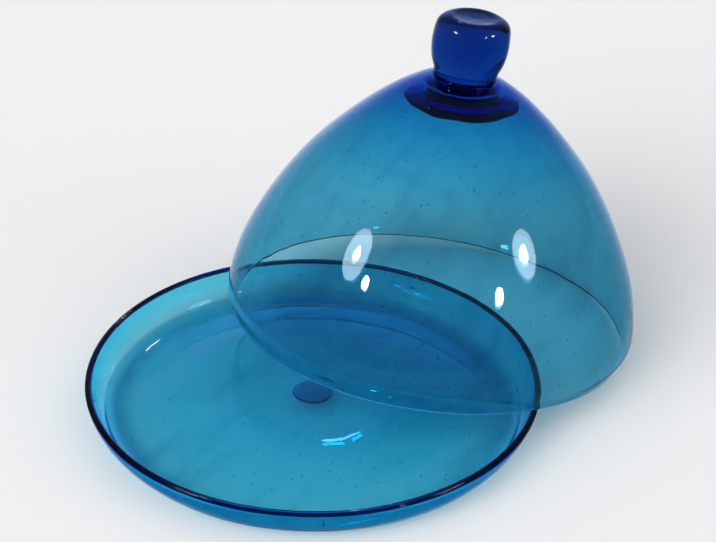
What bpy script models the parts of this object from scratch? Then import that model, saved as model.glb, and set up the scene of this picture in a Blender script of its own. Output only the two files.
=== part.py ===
"""Glass cloche on its plate: a blown dome with a solid knob, leaning on the rim of a round dish.

Metres, +Z up. The dish stands on z = 0 and the dome leans on the dish's rim, towards +X.
The origin is the middle of the whole object's footprint box, on the standing plane.
"""

import math

import bpy
from mathutils import Matrix, Vector

# ---- driving dimensions -------------------------------------------------------------------------
PLATE_R = 0.1500            # outer radius of the dish
PLATE_H = 0.0250            # height of the dish's rim above the table
RIM_BEAD_R = 0.0023         # radius of the fire-polished rim
FLOOR_Z = 0.0146            # top of the dish's floor in its pushed-up middle
FLOOR_T = 0.0034            # thickness of the floor there
FLAT_R = 0.0600             # how far the flat middle reaches
CORNER_R = 0.1382           # where the floor meets the wall
CORNER_Z = 0.0058
FOOT_OUT_R = 0.1310         # outer edge of the ring that the dish stands on
FOOT_IN_R = 0.1275          # inner edge of that ring
WALL_START = 157            # where the inner wall leaves the rim's round, in degrees from outward

PONTIL_R = 0.0135           # the scar under the middle of the dish
PONTIL_T = 0.0018           # its thickness at the edge
PONTIL_MID_T = 0.0010       # and in its middle

DOME_R = 0.1362             # outer radius at the dome's mouth
DOME_T = 0.0024             # wall at the mouth
DOME_TOP_T = 0.0034         # wall near the crown
DOME_TOP_H = 0.1771         # height of the crown, where the knob is joined
LEAN = math.radians(8.24)   # tilt of the dome's axis from upright
DOME_X = 0.1135             # from the dish's centre to the middle of the dome's mouth, along +X

PAD_R = 0.0384              # the pad under the crown
PAD_TOP_H = 0.1648
PAD_LOW_H = 0.1594
BOSS_R = 0.0246             # the boss on the pad, up against the crown
CEILING_R = 0.0255          # flat middle of the dome's ceiling, over the boss
DIMPLE_H = 0.1633           # middle of the dimple in the pad's underside

COLLAR_R = 0.0213           # the ring between crown and knob
COLLAR_ROUND = 0.0005

KNOB_BASE_H = 0.1796        # underside of the knob above the dome's mouth
KNOB_BASE_R = 0.0200
KNOB_R = 0.0259             # widest radius of the knob
KNOB_TOP_H = 0.2195         # top of the knob
MOUTH_CHAMFER = 0.0004      # on both edges of the dome's ground mouth
JOIN_GAP = 0.0003           # clearance between pieces that are one weld of glass in real life

PLATE_TURNS = 72            # segments round the dish
DOME_TURNS = 64
SMALL_TURNS = 48

# Outer outline of the dome: height above the mouth, radius. It swells just above the mouth.
DOME_OUTLINE = [
    (0.0000, DOME_R), (0.0140, 0.1400), (0.0450, 0.1338), (0.0800, 0.1178), (0.1120, 0.0972),
    (0.1400, 0.0724), (0.1600, 0.0505), (0.1720, 0.0333), (DOME_TOP_H, 0.0222),
]

# Outer outline of the knob above its join: height above the mouth, radius. Its top is dished.
KNOB_OUTLINE = [
    (KNOB_BASE_H, KNOB_BASE_R), (0.1835, 0.0219), (0.1920, 0.0248), (0.2030, KNOB_R), (0.2150, 0.0241),
    (KNOB_TOP_H, 0.0175), (0.2189, 0.0100), (0.2182, 0.0),
]
KNOB_STEPS = 3              # points between each pair of outline points
DOME_STEPS = 3
DISH_STEPS = 2

# The dish: (radius, height) of its outer side from the rim down to the ring, of its underside from
# the ring up to the flat middle, of its inner wall from the rim to the corner, and of its floor.
DISH_OUTER = [
    (PLATE_R, PLATE_H - RIM_BEAD_R), (0.1494, 0.0195), (0.1472, 0.0140), (0.1438, 0.0085),
    (0.1394, 0.0035), (0.1350, 0.0008), (FOOT_OUT_R, 0.0),
]
DISH_UNDER = [
    (FOOT_IN_R, 0.0), (0.1220, 0.0010), (0.1120, 0.0036), (0.0980, 0.0068), (0.0800, 0.0098),
    (FLAT_R, FLOOR_Z - FLOOR_T),
]
DISH_WALL = [(0.1443, 0.0200), (0.1424, 0.0145), (0.1406, 0.0100), (CORNER_R, CORNER_Z)]
DISH_FLOOR = [
    (CORNER_R, CORNER_Z), (0.1350, 0.0052), (0.1310, 0.0043), (0.1270, 0.0037), (0.1210, 0.0043),
    (0.1120, 0.0066), (0.0980, 0.0100), (0.0800, 0.0131), (FLAT_R, FLOOR_Z),
]


# ---- helpers ------------------------------------------------------------------------------------
def clear():
    for obj in list(bpy.data.objects):
        bpy.data.objects.remove(obj, do_unlink=True)


def material(name, colour, rough):
    mat = bpy.data.materials.new(name)
    mat.use_nodes = True
    shader = mat.node_tree.nodes["Principled BSDF"]
    shader.inputs["Base Color"].default_value = (*colour, 1.0)
    shader.inputs["Roughness"].default_value = rough
    shader.inputs["IOR"].default_value = 1.5
    return mat


def smooth(points, per_span):
    """A curve through the points (Catmull-Rom), with per_span steps between each pair."""
    pts = [Vector(p) for p in points]
    ends = [2 * pts[0] - pts[1]] + pts + [2 * pts[-1] - pts[-2]]
    out = []
    for a, b, c, d in zip(ends, ends[1:], ends[2:], ends[3:]):
        for k in range(per_span):
            t = k / per_span
            out.append(0.5 * (2 * b + (c - a) * t + (2 * a - 5 * b + 4 * c - d) * t * t
                              + (3 * b - a - 3 * c + d) * t ** 3))
    out.append(pts[-1])
    return out


def arc(cr, cz, a, b, start, end, steps):
    """Points (radius, height) of an ellipse's stretch, angles in degrees from the outward direction."""
    out = []
    for k in range(steps + 1):
        t = math.radians(start + (end - start) * k / steps)
        out.append((cr + a * math.cos(t), cz + b * math.sin(t)))
    return out


def turned(name, outline, turns, mat, collection):
    """A solid of revolution from (radius, height) points running down the outer side."""
    mesh = bpy.data.meshes.new(name)
    verts = [(r, 0.0, z) for r, z in outline]
    mesh.from_pydata(verts, [(i, i + 1) for i in range(len(verts) - 1)], [])
    obj = bpy.data.objects.new(name, mesh)
    collection.objects.link(obj)
    screw = obj.modifiers.new("turn", "SCREW")
    screw.axis = "Z"
    screw.angle = math.tau
    screw.screw_offset = 0.0
    screw.steps = turns
    screw.render_steps = turns
    screw.use_merge_vertices = True
    screw.merge_threshold = 0.00002
    screw.use_smooth_shade = True
    obj.data.materials.append(mat)
    return obj


# ---- the dish -----------------------------------------------------------------------------------
def plate_outline():
    """From the middle of the floor out over the rim and back under to the middle."""
    bead_z = PLATE_H - RIM_BEAD_R
    bead_r = PLATE_R - RIM_BEAD_R
    pts = [(0.0, FLOOR_Z)]
    pts += reversed(smooth(DISH_FLOOR, DISH_STEPS))
    pts += list(reversed(smooth(DISH_WALL, DISH_STEPS)))[1:]
    pts += arc(bead_r, bead_z, RIM_BEAD_R, RIM_BEAD_R, WALL_START, 0, 8)
    pts += smooth(DISH_OUTER, DISH_STEPS)[1:]
    pts += smooth(DISH_UNDER, DISH_STEPS)
    pts.append((0.0, FLOOR_Z - FLOOR_T))
    return pts


def build_plate(collection):
    glass = material("plate_glass", (0.10, 0.42, 0.58), 0.05)
    return turned("plate", plate_outline(), PLATE_TURNS, glass, collection)


def build_pontil(collection):
    """The small round scar of glass left under the dish where it was held while hot."""
    top = FLOOR_Z - FLOOR_T - JOIN_GAP
    glass = material("pontil_glass", (0.06, 0.28, 0.45), 0.25)
    low = top - PONTIL_T
    pts = [(0.0, top), (0.95 * PONTIL_R, top), (PONTIL_R, top - 0.3 * PONTIL_T)]
    pts += [(PONTIL_R, low + 0.3 * PONTIL_T), (0.93 * PONTIL_R, low)]
    pts += [(0.74 * PONTIL_R, low + 0.3 * PONTIL_T), (0.0, top - PONTIL_MID_T)]
    return turned("pontil_scar", pts, SMALL_TURNS, glass, collection)


# ---- the dome -----------------------------------------------------------------------------------
def dome_outer():
    """(radius, height) from the crown down to the mouth."""
    return [(r, h) for h, r in reversed([tuple(p) for p in smooth(DOME_OUTLINE, DOME_STEPS)])]


def dome_inner(outer):
    """The outer outline moved in by the wall's thickness, from the mouth up to the crown."""
    out = []
    for i, (r, h) in enumerate(outer):
        r0, h0 = outer[max(i - 1, 0)]
        r1, h1 = outer[min(i + 1, len(outer) - 1)]
        along = Vector((r1 - r0, h1 - h0)).normalized()
        thick = DOME_T + (DOME_TOP_T - DOME_T) * h / DOME_TOP_H
        out.append((r + along.y * thick, h - along.x * thick))
    return [p for p in reversed(out) if p[0] > CEILING_R]


def build_dome(collection):
    outer = dome_outer()
    inner = dome_inner(outer)
    glass = material("dome_glass", (0.16, 0.50, 0.62), 0.05)
    mouth_in = DOME_R - DOME_T
    pts = [(0.0, DOME_TOP_H)] + outer[:-1]
    # ground mouth: a flat edge with small chamfers
    pts += [(DOME_R, MOUTH_CHAMFER), (DOME_R - MOUTH_CHAMFER, 0.0)]
    pts += [(mouth_in + MOUTH_CHAMFER, 0.0), (mouth_in, MOUTH_CHAMFER)]
    pts += inner[1:]
    top = inner[-1][1]
    pts.append((0.0, top))
    return turned("dome_shell", pts, DOME_TURNS, glass, collection), top


def build_crown(collection, ceiling):
    """The thick pad under the crown, where the knob's glass was pressed through."""
    top = ceiling - JOIN_GAP
    glass = material("crown_glass", (0.02, 0.10, 0.30), 0.08)
    # the boss: flat top, eased edge, a small fillet at its foot
    pts = [(0.0, top), (BOSS_R - 0.0008, top), (BOSS_R, top - 0.0010)]
    pts += [(BOSS_R - 0.0004, PAD_TOP_H + 0.0014), (BOSS_R + 0.0010, PAD_TOP_H + 0.0004)]
    # the pad's eased rim
    pts += [(PAD_R - 0.0012, PAD_TOP_H), (PAD_R, PAD_TOP_H - 0.0010)]
    pts += [(PAD_R, PAD_LOW_H + 0.0012), (PAD_R - 0.0014, PAD_LOW_H + 0.0002)]
    # the dimple in its underside
    pts += [(0.0250, PAD_LOW_H), (0.0225, PAD_LOW_H + 0.0008), (0.0170, DIMPLE_H - 0.0013)]
    pts += [(0.0090, DIMPLE_H - 0.0003), (0.0, DIMPLE_H)]
    return turned("crown_pad", pts, SMALL_TURNS, glass, collection)


def build_join(collection):
    """The thin collar of glass between the crown and the knob."""
    low = DOME_TOP_H + JOIN_GAP
    high = KNOB_BASE_H - JOIN_GAP
    mid = 0.5 * (low + high)
    shoulder_r = COLLAR_R - 0.6 * COLLAR_ROUND
    glass = material("collar_glass", (0.02, 0.06, 0.20), 0.08)
    pts = [(0.0, high), (KNOB_BASE_R, high), (shoulder_r, mid + COLLAR_ROUND), (COLLAR_R, mid)]
    pts += [(shoulder_r, mid - COLLAR_ROUND), (KNOB_BASE_R, low), (0.0, low)]
    return turned("knob_collar", pts, SMALL_TURNS, glass, collection)


def build_knob(collection):
    glass = material("knob_glass", (0.03, 0.16, 0.45), 0.05)
    line = [(max(r, 0.0), h) for h, r in reversed([tuple(p) for p in smooth(KNOB_OUTLINE, KNOB_STEPS)])]
    line[0] = (0.0, line[0][1])
    return turned("knob", line + [(0.0, KNOB_BASE_H)], SMALL_TURNS, glass, collection)


# ---- assembly -----------------------------------------------------------------------------------
def main():
    clear()
    collection = bpy.data.collections.new("glass_cloche")
    bpy.context.scene.collection.children.link(collection)

    shell, ceiling = build_dome(collection)
    dome = [shell, build_crown(collection, ceiling), build_join(collection), build_knob(collection)]
    dish = [build_plate(collection), build_pontil(collection)]

    # how far the leaning dome reaches past the dish's centre, to centre the footprint on the origin
    reach = max(DOME_X + h * math.sin(LEAN) + r * math.cos(LEAN) for r, h in dome_outer())
    shift = -0.5 * (reach - PLATE_R)

    for obj in dish:
        obj.matrix_world = Matrix.Translation((shift, 0.0, 0.0))
    mouth = Vector((shift + DOME_X, 0.0, DOME_R * math.sin(LEAN)))
    for obj in dome:
        obj.matrix_world = Matrix.Translation(mouth) @ Matrix.Rotation(LEAN, 4, "Y")


main()
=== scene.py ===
"""Looks of the glass cloche: a blown glass cover leaning on its dish, on a pale floor in soft light.

The frame (bodies, joint, sizes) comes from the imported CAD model. Metres, +Z up.
"""

import math

import bpy
from mathutils import Matrix, Vector


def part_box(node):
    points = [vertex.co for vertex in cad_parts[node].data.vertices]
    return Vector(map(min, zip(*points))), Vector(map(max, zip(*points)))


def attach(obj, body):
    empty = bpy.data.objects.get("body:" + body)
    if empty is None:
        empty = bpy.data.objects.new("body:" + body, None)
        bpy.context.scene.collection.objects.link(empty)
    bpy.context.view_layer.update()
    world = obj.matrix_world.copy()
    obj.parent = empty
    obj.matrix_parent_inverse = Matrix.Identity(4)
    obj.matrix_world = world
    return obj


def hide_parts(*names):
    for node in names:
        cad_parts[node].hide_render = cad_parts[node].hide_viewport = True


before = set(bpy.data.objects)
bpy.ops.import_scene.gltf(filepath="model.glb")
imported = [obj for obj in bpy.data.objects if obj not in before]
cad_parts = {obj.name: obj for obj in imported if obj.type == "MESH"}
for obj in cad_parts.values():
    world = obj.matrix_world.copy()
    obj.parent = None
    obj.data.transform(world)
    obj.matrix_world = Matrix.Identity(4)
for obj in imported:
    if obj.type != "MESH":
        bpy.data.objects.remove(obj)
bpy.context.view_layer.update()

# ---- sizes, from the frame and from the CAD's driving dimensions ---------------------------------
plate_low, plate_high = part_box("plate")
PLATE_X = 0.5 * (plate_low[0] + plate_high[0])
PLATE_R = 0.5 * (plate_high[0] - plate_low[0])
PLATE_H = plate_high[2]
RIM_BEAD_R = 0.0023
# painted shade: a dark core inside the bead stands for the dark band along the rounded rim
RIM_SHADE_CORE_R = 0.0010
FLOOR_Z = 0.0146
FLOOR_T = 0.0034
CORNER_EASE = 0.0006

DOME_R = 0.1362
DOME_T = 0.0024
CROWN_EXTRA_T = 0.0026      # how much thicker the wall is at the crown than at the mouth
DOME_TOP_H = 0.1771
CROWN_FLAT_R = 0.0150
CEILING_R = 0.0255
LIP_EASE = 0.0005
LEAN = math.radians(8.24)
DOME_X = 0.1135
KNOB_BASE_H = 0.1796
KNOB_TOP_H = 0.2195
KNOB_ASKEW = (0.026, -0.027)

# The deeper blue of the crown lies this far inside the wall, and thins out downwards.
CROWN_FADE_H = 0.118
CROWN_FADE_SPAN = 0.05
CROWN_CORE_IN = 0.0007
CROWN_CORE_MIN_T = 0.0001

PLATE_TURNS = 288
DOME_TURNS = 288
KNOB_TURNS = 192
SCAR_TURNS = 96

# Unevenness of hand-made glass: it fades out near the axis, and is shifted inwards and upwards so
# that it stays inside the size of the CAD model.
EASE_R = 0.03
ON_AXIS = 1e-6
INWARD = 0.00046
LIFT = 0.00017

# What each glass takes out of red, green and blue light in a millimetre.
DISH_TAKES = (0.410, 0.062, 0.011)
COVER_TAKES = (0.460, 0.132, 0.064)
CROWN_TAKES = (0.560, 0.125, 0.010)
KNOB_TAKES = (0.125, 0.072, 0.028)
PAD_TAKES = (1.400, 1.100, 0.170)
COLLAR_TAKES = (1.000, 0.750, 0.100)
SCAR_TAKES = (1.000, 0.700, 0.300)
# painted shade: the rim's core takes far more than the glass does, so the rim shows as a dark navy band
RIM_SHADE_TAKES = (2.400, 1.900, 1.200)
GLASS_IOR = 1.5
MM_PER_M = 1000.0

# Directions of the lights, seen from the object.
UMBRELLA_LEFT = (-0.756, 0.291, 0.586)
UMBRELLA_RIGHT = (0.322, -0.807, 0.494)
SIDE_LIGHT = (-0.86, -0.06, 0.40)
BACKDROP = (0.69, 0.62, -0.40)
BLUE_GLOW = (0.74, 0.59, 0.16)
LAMP_AIM = Vector((0.0, -0.06, 0.12))
COOL = (0.93, 0.95, 1.0)
WHITE = (1.0, 1.0, 1.0)
WARM = (1.0, 0.80, 0.66)
# name, direction, distance, across, radiance, colour
LAMPS = [
    ("umbrella_left", UMBRELLA_LEFT, 1.60, 0.42, 7.0, COOL),
    ("bulb_left", UMBRELLA_LEFT, 1.50, 0.11, 60.0, WHITE),
    ("umbrella_right", UMBRELLA_RIGHT, 1.60, 0.42, 7.0, COOL),
    ("bulb_right", UMBRELLA_RIGHT, 1.50, 0.13, 60.0, WHITE),
    ("strip_back", (0.549, 0.542, 0.60), 1.60, 0.05, 70.0, (0.85, 0.95, 1.0)),
    ("warm_left", (-0.840, 0.087, 0.535), 1.60, 0.12, 40.0, WARM),
    ("warm_right", (-0.064, -0.894, 0.440), 1.60, 0.14, 40.0, WARM),
]

CAMERA_AT = Vector((-0.991, -0.911, 0.911))
CAMERA_AIM = Vector((0.022, 0.031, 0.060))
CAMERA_ROLL = math.radians(1.36)
CAMERA_LENS = 120.7


# ---- outlines -----------------------------------------------------------------------------------
def smooth(points, per_span):
    """A curve through the points (Catmull-Rom), with per_span steps between each pair."""
    pts = [Vector(p) for p in points]
    ends = [2 * pts[0] - pts[1]] + pts + [2 * pts[-1] - pts[-2]]
    out = []
    for a, b, c, d in zip(ends, ends[1:], ends[2:], ends[3:]):
        for k in range(per_span):
            t = k / per_span
            out.append(0.5 * (2 * b + (c - a) * t + (2 * a - 5 * b + 4 * c - d) * t * t
                              + (3 * b - a - 3 * c + d) * t ** 3))
    out.append(pts[-1])
    return [tuple(p) for p in out]


def arc(cr, cz, a, b, start, end, steps):
    """Points (radius, height) on a stretch of an ellipse, angles in degrees from outward."""
    out = []
    for k in range(steps + 1):
        t = math.radians(start + (end - start) * k / steps)
        out.append((cr + a * math.cos(t), cz + b * math.sin(t)))
    return out


def rounded(corner, before, after, size, steps=4):
    """The corner eased: a short curve that starts and ends size away from it."""
    c = Vector(corner)
    p = c + (Vector(before) - c).normalized() * size
    q = c + (Vector(after) - c).normalized() * size
    return [tuple(p.lerp(c, t).lerp(c.lerp(q, t), t)) for t in (k / steps for k in range(steps + 1))]


# The dish stands on a ring and its middle is pushed up. (radius, height) of its outer side and
# underside from the bead to the axis, of its inner wall from the bead to the corner, and of its
# floor from that crisp corner to the axis.
DISH_UNDER = [
    (0.1500, 0.0227), (0.1494, 0.0195), (0.1472, 0.0140), (0.1438, 0.0085), (0.1394, 0.0035),
    (0.1350, 0.0008), (0.1310, 0.0000), (0.1275, 0.0000), (0.1220, 0.0010), (0.1120, 0.0036),
    (0.0980, 0.0068), (0.0800, 0.0098), (0.0600, 0.0112), (0.0400, 0.0112), (0.0200, 0.0112),
    (0.0, 0.0112),
]
DISH_WALL = [(0.1456, 0.0236), (0.1443, 0.0200), (0.1424, 0.0145), (0.1405, 0.0100), (0.1382, 0.0062)]
DISH_FLOOR = [
    (0.1382, 0.0062), (0.1350, 0.0055), (0.1310, 0.0040), (0.1270, 0.0034), (0.1210, 0.0041),
    (0.1120, 0.0065), (0.0980, 0.0100), (0.0800, 0.0131), (0.0600, 0.0146), (0.0400, 0.0146),
    (0.0, 0.0146),
]
# (height above the mouth, radius)
DOME_OUTLINE = [
    (0.0000, DOME_R), (0.0140, 0.1400), (0.0450, 0.1338), (0.0800, 0.1178), (0.1120, 0.0972),
    (0.1400, 0.0724), (0.1600, 0.0505), (0.1720, 0.0333), (DOME_TOP_H, 0.0222),
]
KNOB_OUTLINE = [
    (KNOB_BASE_H, 0.0206), (0.1835, 0.0219), (0.1920, 0.0248), (0.2030, 0.0259), (0.2150, 0.0241),
    (KNOB_TOP_H, 0.0175), (0.2189, 0.0100), (0.2182, 0.0),
]


def plate_outline():
    """(radius, height) from the middle of the floor out over the rim and back under the dish."""
    bead_z = PLATE_H - RIM_BEAD_R
    bead_r = PLATE_R - RIM_BEAD_R
    floor = [(max(r, 0.0), z) for r, z in reversed(smooth(DISH_FLOOR, 6))]
    floor[0] = (0.0, floor[0][1])
    wall = list(reversed(smooth(DISH_WALL, 6)))
    corner = rounded(floor[-1], floor[-4], wall[4], CORNER_EASE, 6)
    bead = arc(bead_r, bead_z, RIM_BEAD_R, RIM_BEAD_R, 155, 0, 22)
    under = [(max(r, 0.0), max(z, 0.0)) for r, z in smooth(DISH_UNDER, 6)][1:]
    under[-1] = (0.0, under[-1][1])
    return floor[:-2] + corner + wall[2:-1] + bead + under


def rim_shade_core_outline():
    """A closed ring of (radius, height) points inside the bead, for a dark core there that paints the
    rim's shade.
    """
    return arc(PLATE_R - RIM_BEAD_R + 0.0002, PLATE_H - RIM_BEAD_R - 0.0001,
               RIM_SHADE_CORE_R, RIM_SHADE_CORE_R, 180, -180, 12)


def scar_outline():
    """(radius, height) of the scar of glass under the middle of the dish."""
    top = FLOOR_Z - FLOOR_T - 0.0005
    outline = [(0.0, top), (0.0124, top)] + arc(0.0126, top - 0.0007, 0.0009, 0.0007, 80, -80, 6)
    return outline + [(0.0105, top - 0.0011), (0.0, top - 0.0010)]


def inwards(outer, i, distance):
    """The i-th point of the cover's outer line, moved into the wall by distance."""
    r0, h0 = outer[max(i - 1, 0)]
    r1, h1 = outer[min(i + 1, len(outer) - 1)]
    along = Vector((r1 - r0, h1 - h0)).normalized()
    r, h = outer[i]
    return (r + along.y * distance, h - along.x * distance)


def wall_thickness(h):
    return DOME_T + CROWN_EXTRA_T * (h / DOME_TOP_H) ** 4


def shell_outline():
    """(radius, height) of the cover's blown wall: down from its closed crown and up inside."""
    outer = [(r, h) for h, r in reversed(smooth(DOME_OUTLINE, 8))]
    inner = [inwards(outer, i, wall_thickness(h)) for i, (r, h) in enumerate(outer)]
    inner = [p for p in reversed(inner) if p[0] > CEILING_R]
    mouth_in = DOME_R - DOME_T
    lip = rounded((DOME_R, 0.0), outer[-2], (mouth_in, 0.0), LIP_EASE)
    lip += rounded((mouth_in, 0.0), (DOME_R, 0.0), inner[1], LIP_EASE)
    ceiling_h = inner[-1][1] + 0.0008
    ceiling = [(CROWN_FLAT_R, ceiling_h), (0.0, ceiling_h)]
    crown = [(0.0, DOME_TOP_H), (CROWN_FLAT_R, DOME_TOP_H)]
    return crown + outer[:-1] + lip + inner[1:] + ceiling


def crown_outline():
    """(radius, height) of the deeper blue inside the wall near the crown: it thins out downwards."""
    outer = [(r, h) for h, r in reversed(smooth(DOME_OUTLINE, 8)) if h > CROWN_FADE_H]
    line = []
    back = []
    for i, (r, h) in enumerate(outer):
        share = min(1.0, (h - CROWN_FADE_H) / CROWN_FADE_SPAN)
        thick = CROWN_CORE_MIN_T + (wall_thickness(h) - 2 * CROWN_CORE_IN) * share
        line.append(inwards(outer, i, CROWN_CORE_IN))
        back.append(inwards(outer, i, CROWN_CORE_IN + thick))
    back = [p for p in reversed(back) if p[0] > CEILING_R]
    top = line[0][1]
    return [(0.0, top)] + line + back + [(0.0, back[-1][1])]


def collar_outline():
    """(radius, height) of the thin ring of glass under the knob."""
    middle = 0.5 * (DOME_TOP_H + KNOB_BASE_H)
    ring = arc(0.0205, middle, 0.0008, 0.0008, 90, -90, 10)
    return [(0.0, middle + 0.0008)] + ring + [(0.0, middle - 0.0008)]


def knob_outline():
    """(radius, height) of the knob from the middle of its dished top to its base."""
    knob = [(max(r, 0.0), h) for h, r in reversed(smooth(KNOB_OUTLINE, 8))]
    knob[0] = (0.0, knob[0][1])
    base = [(0.0203, KNOB_BASE_H - 0.0001), (0.0196, KNOB_BASE_H - 0.0002), (0.0, KNOB_BASE_H - 0.0002)]
    return knob + base


def pad_outline():
    """(radius, height) of the pad inside the crown, with a boss on top of its disc."""
    boss = smooth([(0.0190, 0.1690), (0.0222, 0.1684), (0.0240, 0.1668), (0.0246, 0.1650),
                   (0.0270, 0.1636)], 5)
    disc = [(0.0330, 0.1626)] + arc(0.0366, 0.1606, 0.0014, 0.0014, 80, -80, 10) + [(0.0300, 0.1588)]
    dimple = smooth([(0.0262, 0.1590), (0.0225, 0.1600), (0.0170, 0.1618), (0.0090, 0.1628),
                     (0.0, 0.1630)], 5)
    return [(0.0, 0.1693)] + boss + disc + dimple


# ---- mesh ---------------------------------------------------------------------------------------
def hand_made(r, z, turn, seed):
    """The small unevenness of blown glass, as a shift of the radius and the height."""
    low = 0.00022 * math.sin(2 * turn + seed) + 0.00014 * math.sin(3 * turn + 2.1 * seed + 40 * z)
    fine = 0.00006 * math.sin(7 * turn + 90 * z + seed) + 0.00005 * math.sin(11 * turn - 130 * r)
    ease = min(1.0, r / EASE_R)
    return ease * (low + fine), ease * (0.3 * low - 0.5 * fine)


def turned(name, outline, turns, place, seed, closed=False, uneven=1.0):
    """A closed mesh turned from (radius, height) points that run down the outer side.

    Its outline starts and ends on the axis, or where closed is set comes back to its first point.
    """
    if closed:
        outline = outline[:-1]
    rings = []
    verts = []
    for r, z in outline:
        if r < ON_AXIS:
            rings.append([len(verts)])
            verts.append(place @ Vector((0.0, 0.0, z)))
            continue
        ring = []
        for k in range(turns):
            turn = math.tau * k / turns
            dr, dz = (uneven * shift for shift in hand_made(r, z, turn, seed))
            dr -= INWARD * min(1.0, r / EASE_R)
            dz += LIFT * min(1.0, r / EASE_R)
            ring.append(len(verts))
            verts.append(place @ Vector(((r + dr) * math.cos(turn), (r + dr) * math.sin(turn), z + dz)))
        rings.append(ring)
    faces = []
    pairs = list(zip(rings, rings[1:]))
    if closed:
        pairs.append((rings[-1], rings[0]))
    for up, down in pairs:
        for k in range(turns):
            n = (k + 1) % turns
            if len(up) == 1:
                faces.append((up[0], down[k], down[n]))
            elif len(down) == 1:
                faces.append((up[k], down[0], up[n]))
            else:
                faces.append((up[k], down[k], down[n], up[n]))
    mesh = bpy.data.meshes.new(name)
    mesh.from_pydata(verts, [], faces)
    mesh.polygons.foreach_set("use_smooth", [True] * len(mesh.polygons))
    mesh.validate()
    obj = bpy.data.objects.new(name, mesh)
    bpy.context.scene.collection.objects.link(obj)
    return obj


# ---- nodes --------------------------------------------------------------------------------------
def math_node(tree, operation, first, second):
    """A Math node's output. Each input is a number or another node's output."""
    node = tree.nodes.new("ShaderNodeMath")
    node.operation = operation
    for socket, value in zip(node.inputs, (first, second)):
        if isinstance(value, float):
            socket.default_value = value
        else:
            tree.links.new(value, socket)
    return node.outputs["Value"]


def map_range(tree, value, start, end):
    """The value carried from the range start to the range end, each (low, high)."""
    node = tree.nodes.new("ShaderNodeMapRange")
    node.inputs["From Min"].default_value, node.inputs["From Max"].default_value = start
    node.inputs["To Min"].default_value, node.inputs["To Max"].default_value = end
    tree.links.new(value, node.inputs["Value"])
    return node.outputs["Result"]


def mix_shaders(tree, factor, first, second):
    node = tree.nodes.new("ShaderNodeMixShader")
    for socket, value in zip(node.inputs, (factor, first, second)):
        tree.links.new(value, socket)
    return node.outputs["Shader"]


# ---- materials ----------------------------------------------------------------------------------
def clear_body(name, taken, ior, rough):
    """A clear material that takes its colour from its depth, and its shader.

    taken says how much red, green and blue each millimetre takes out (as a power of e).
    """
    density = MM_PER_M * max(taken)
    colour = [1.0 - MM_PER_M * t / density for t in taken]
    colour[0] = max(colour[0], 0.001)
    mat = bpy.data.materials.new(name)
    mat.use_nodes = True
    nodes = mat.node_tree.nodes
    shader = nodes["Principled BSDF"]
    shader.inputs["Transmission Weight"].default_value = 1.0
    shader.inputs["Roughness"].default_value = rough
    shader.inputs["IOR"].default_value = ior
    depth = nodes.new("ShaderNodeVolumeAbsorption")
    depth.inputs["Color"].default_value = (*colour, 1.0)
    depth.inputs["Density"].default_value = density
    mat.node_tree.links.new(depth.outputs["Volume"], nodes["Material Output"].inputs["Volume"])
    return mat, shader


def glass(name, taken, ripple, rough=0.0):
    """Clear coloured glass with seeds, faint streaks and ripples. ripple is the ripples' height."""
    mat, shader = clear_body(name, taken, GLASS_IOR, rough)
    tree = mat.node_tree
    nodes = tree.nodes
    links = tree.links
    place = nodes.new("ShaderNodeTexCoord")
    # seeds: small dark specks caught in the glass
    seeds = nodes.new("ShaderNodeTexVoronoi")
    seeds.inputs["Scale"].default_value = 118.0
    links.new(place.outputs["Object"], seeds.inputs["Vector"])
    size = map_range(tree, seeds.outputs["Distance"], (0.040, 0.090), (1.0, 0.0))
    # streaks: long faint cords of darker glass
    stretch = nodes.new("ShaderNodeMapping")
    stretch.inputs["Scale"].default_value = (14.0, 60.0, 30.0)
    links.new(place.outputs["Object"], stretch.inputs["Vector"])
    streak = nodes.new("ShaderNodeTexNoise")
    streak.inputs["Scale"].default_value = 1.0
    streak.inputs["Detail"].default_value = 3.0
    links.new(stretch.outputs["Vector"], streak.inputs["Vector"])
    tint = nodes.new("ShaderNodeMix")
    tint.data_type = "RGBA"
    tint.inputs["A"].default_value = (1.0, 1.0, 1.0, 1.0)
    tint.inputs["B"].default_value = (0.78, 0.86, 0.90, 1.0)
    links.new(map_range(tree, streak.outputs["Fac"], (0.50, 0.78), (0.0, 1.0)), tint.inputs["Factor"])
    spots = nodes.new("ShaderNodeMix")
    spots.data_type = "RGBA"
    spots.inputs["B"].default_value = (0.10, 0.14, 0.20, 1.0)
    links.new(tint.outputs["Result"], spots.inputs["A"])
    links.new(size, spots.inputs["Factor"])
    links.new(spots.outputs["Result"], shader.inputs["Base Color"])
    # ripples left by blowing and turning
    wave = nodes.new("ShaderNodeTexNoise")
    wave.inputs["Scale"].default_value = 38.0
    wave.inputs["Detail"].default_value = 1.5
    links.new(place.outputs["Object"], wave.inputs["Vector"])
    bump = nodes.new("ShaderNodeBump")
    bump.inputs["Strength"].default_value = 0.25
    bump.inputs["Distance"].default_value = ripple
    links.new(wave.outputs["Fac"], bump.inputs["Height"])
    links.new(bump.outputs["Normal"], shader.inputs["Normal"])
    return mat


def depth_only(name, taken):
    """A deeper colour inside clear glass, with no surface of its own: a deeper blue at the crown, painted
    shade in the rim.
    """
    mat, shader = clear_body(name, taken, 1.0, 0.0)
    shader.inputs["Base Color"].default_value = (1.0, 1.0, 1.0, 1.0)
    return mat


def plain(name, colour, rough):
    """A dull material without a sheen."""
    mat = bpy.data.materials.new(name)
    mat.use_nodes = True
    shader = mat.node_tree.nodes["Principled BSDF"]
    shader.inputs["Base Color"].default_value = (*colour, 1.0)
    shader.inputs["Roughness"].default_value = rough
    shader.inputs["Specular IOR Level"].default_value = 0.0
    return mat


# ---- pieces -------------------------------------------------------------------------------------
def finish_piece(piece, mat, body, node):
    """The piece's material, the body it rides on, and the CAD node it stands for, which is hidden."""
    piece.data.materials.append(mat)
    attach(piece, body)
    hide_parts(node)


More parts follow.
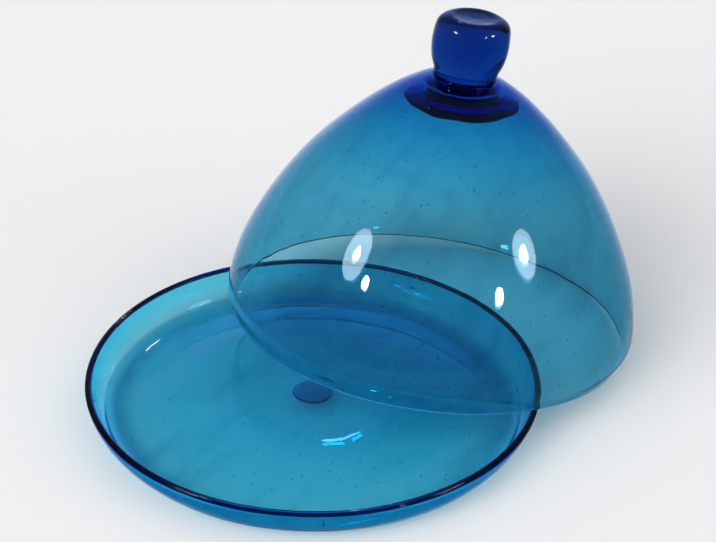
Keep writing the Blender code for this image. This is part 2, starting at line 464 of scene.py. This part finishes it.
def build_plate():
    place = Matrix.Translation((PLATE_X, 0.0, 0.0))
    plate = turned("dish_glass", plate_outline(), PLATE_TURNS, place, 1.3)
    finish_piece(plate, glass("dish_blue", DISH_TAKES, 0.0006), "dish", "plate")
    # painted shade: a strongly absorbing core inside the bead makes the rim the dark band that the rounded
    # glass edge shows
    rim = turned("dish_rim_painted_shade", rim_shade_core_outline(), PLATE_TURNS, place, 1.3, closed=True)
    finish_piece(rim, depth_only("rim_painted_shade", RIM_SHADE_TAKES), "dish", "plate")
    scar = turned("pontil_scar_glass", scar_outline(), SCAR_TURNS, place, 4.0)
    finish_piece(scar, glass("scar_blue", SCAR_TAKES, 0.0015, rough=0.12), "dish", "pontil_scar")


def cover_place():
    mouth = Matrix.Translation((PLATE_X + DOME_X, 0.0, DOME_R * math.sin(LEAN)))
    return mouth @ Matrix.Rotation(LEAN, 4, "Y")


def knob_place():
    """The knob was set down a little askew: each slice is shifted towards one side as it goes up."""
    askew = Matrix.Identity(4)
    askew[0][2] = KNOB_ASKEW[0]
    askew[1][2] = KNOB_ASKEW[1]
    low = Matrix.Translation((0.0, 0.0, KNOB_BASE_H))
    return cover_place() @ low @ askew @ low.inverted()


def build_cover():
    place = cover_place()
    shell = turned("cover_shell_glass", shell_outline(), DOME_TURNS, place, 2.2)
    finish_piece(shell, glass("shell_blue", COVER_TAKES, 0.0006), "cover", "dome_shell")
    crown = turned("crown_depth", crown_outline(), DOME_TURNS, place, 2.2)
    finish_piece(crown, depth_only("crown_deep_blue", CROWN_TAKES), "cover", "dome_shell")
    pad = turned("crown_pad_glass", pad_outline(), KNOB_TURNS, place, 7.7, uneven=5.0)
    finish_piece(pad, glass("pad_blue", PAD_TAKES, 0.0012), "cover", "crown_pad")
    collar = turned("knob_collar_glass", collar_outline(), KNOB_TURNS, place, 3.4)
    finish_piece(collar, glass("collar_blue", COLLAR_TAKES, 0.0006), "cover", "knob_collar")
    knob = turned("knob_glass", knob_outline(), KNOB_TURNS, knob_place(), 5.1)
    finish_piece(knob, glass("knob_blue", KNOB_TAKES, 0.0002), "cover", "knob")


# ---- stage --------------------------------------------------------------------------------------
def build_floor():
    mesh = bpy.data.meshes.new("floor")
    half = 6.0
    corners = [(-half, -half, 0), (half, -half, 0), (half, half, 0), (-half, half, 0)]
    mesh.from_pydata(corners, [], [(0, 1, 2, 3)])
    floor = bpy.data.objects.new("floor", mesh)
    floor.location = (0.0, 0.0, -0.0002)
    floor.data.materials.append(plain("pale_floor", (0.78, 0.78, 0.78), 0.9))
    floor.visible_glossy = False
    bpy.context.scene.collection.objects.link(floor)


def lamp(name, direction, distance, across, radiance, colour):
    """A round lamp that only its reflections show: the world's soft light does the lighting."""
    data = bpy.data.lights.new(name, "AREA")
    data.shape = "DISK"
    data.size = across
    data.energy = radiance * math.pi * math.pi * (0.5 * across) ** 2
    data.color = colour
    obj = bpy.data.objects.new(name, data)
    towards = Vector(direction).normalized()
    obj.location = LAMP_AIM + distance * towards
    obj.rotation_euler = towards.to_track_quat("Z", "Y").to_euler()
    obj.visible_diffuse = False
    obj.visible_camera = False
    bpy.context.scene.collection.objects.link(obj)


def lobe(tree, towards, strength, tightness):
    """A soft patch of the sky round one direction."""
    place = tree.nodes.new("ShaderNodeTexCoord")
    near = tree.nodes.new("ShaderNodeVectorMath")
    near.operation = "DOT_PRODUCT"
    near.inputs[1].default_value = Vector(towards).normalized()
    tree.links.new(place.outputs["Generated"], near.inputs[0])
    front = math_node(tree, "MAXIMUM", near.outputs["Value"], 0.0)
    soft = math_node(tree, "POWER", front, tightness)
    return math_node(tree, "MULTIPLY", soft, strength)


def sky(tree, colour, strength=None):
    """One colour of the world, with a strength that may vary over the sky."""
    node = tree.nodes.new("ShaderNodeBackground")
    node.inputs["Color"].default_value = (*colour, 1.0)
    if strength is not None:
        tree.links.new(strength, node.inputs["Strength"])
    return node.outputs["Background"]


def build_light():
    """A bright soft world lights the floor; what the glass mirrors is a dim studio."""
    world = bpy.data.worlds.new("soft_studio")
    world.use_nodes = True
    tree = world.node_tree
    tree.nodes.remove(tree.nodes["Background"])
    ray = tree.nodes.new("ShaderNodeLightPath")
    sides = math_node(tree, "ADD", lobe(tree, SIDE_LIGHT, 6.5, 10.0), lobe(tree, UMBRELLA_RIGHT, 1.6, 8.0))
    soft = sky(tree, (0.98, 0.99, 1.0), math_node(tree, "ADD", 0.52, sides))
    # the studio: dark below, dim above, a pale backdrop and a blue glow on the far side
    place = tree.nodes.new("ShaderNodeTexCoord")
    split = tree.nodes.new("ShaderNodeSeparateXYZ")
    tree.links.new(place.outputs["Generated"], split.inputs["Vector"])
    height = map_range(tree, split.outputs["Z"], (-0.3, 0.3), (0.03, 0.10))
    # what shines through the glass from above is brighter than what only mirrors in it
    through = map_range(tree, ray.outputs["Is Reflection Ray"], (0.0, 1.0), (3.5, 1.0))
    above = math_node(tree, "MULTIPLY", height, through)
    dim = math_node(tree, "ADD", above, lobe(tree, BACKDROP, 0.90, 7.0))
    studio = tree.nodes.new("ShaderNodeAddShader")
    tree.links.new(sky(tree, (0.86, 0.90, 1.0), dim), studio.inputs[0])
    tree.links.new(sky(tree, (0.0, 0.20, 1.0), lobe(tree, BLUE_GLOW, 0.70, 9.0)), studio.inputs[1])
    # glass shows the studio, but light that goes through it on its way to the floor is soft light
    unlit = math_node(tree, "LESS_THAN", ray.outputs["Diffuse Depth"], 0.5)
    gloss = math_node(tree, "MULTIPLY", ray.outputs["Is Glossy Ray"], unlit)
    lit = mix_shaders(tree, gloss, soft, studio.outputs["Shader"])
    # what shows past the floor's edge is as pale as the floor
    seen = mix_shaders(tree, ray.outputs["Is Camera Ray"], lit, sky(tree, (0.86, 0.87, 0.87)))
    tree.links.new(seen, tree.nodes["World Output"].inputs["Surface"])
    bpy.context.scene.world = world
    # two umbrellas with their bulbs, a small warm lamp beside each, and a strip behind
    for one in LAMPS:
        lamp(*one)


def build_camera():
    data = bpy.data.cameras.new("camera")
    data.sensor_width = 36.0
    data.lens = CAMERA_LENS
    camera = bpy.data.objects.new("camera", data)
    look = (CAMERA_AIM - CAMERA_AT).to_track_quat("-Z", "Y").to_matrix().to_4x4()
    roll = Matrix.Rotation(CAMERA_ROLL, 4, "Z")
    camera.matrix_world = Matrix.Translation(CAMERA_AT) @ look @ roll
    bpy.context.scene.collection.objects.link(camera)
    bpy.context.scene.camera = camera


def settle_render():
    scene = bpy.context.scene
    scene.view_settings.view_transform = "Standard"
    scene.cycles.use_denoising = True
    scene.cycles.max_bounces = 24
    scene.cycles.transmission_bounces = 24
    scene.cycles.glossy_bounces = 8


build_floor()
build_light()
build_camera()
build_plate()
build_cover()
settle_render()
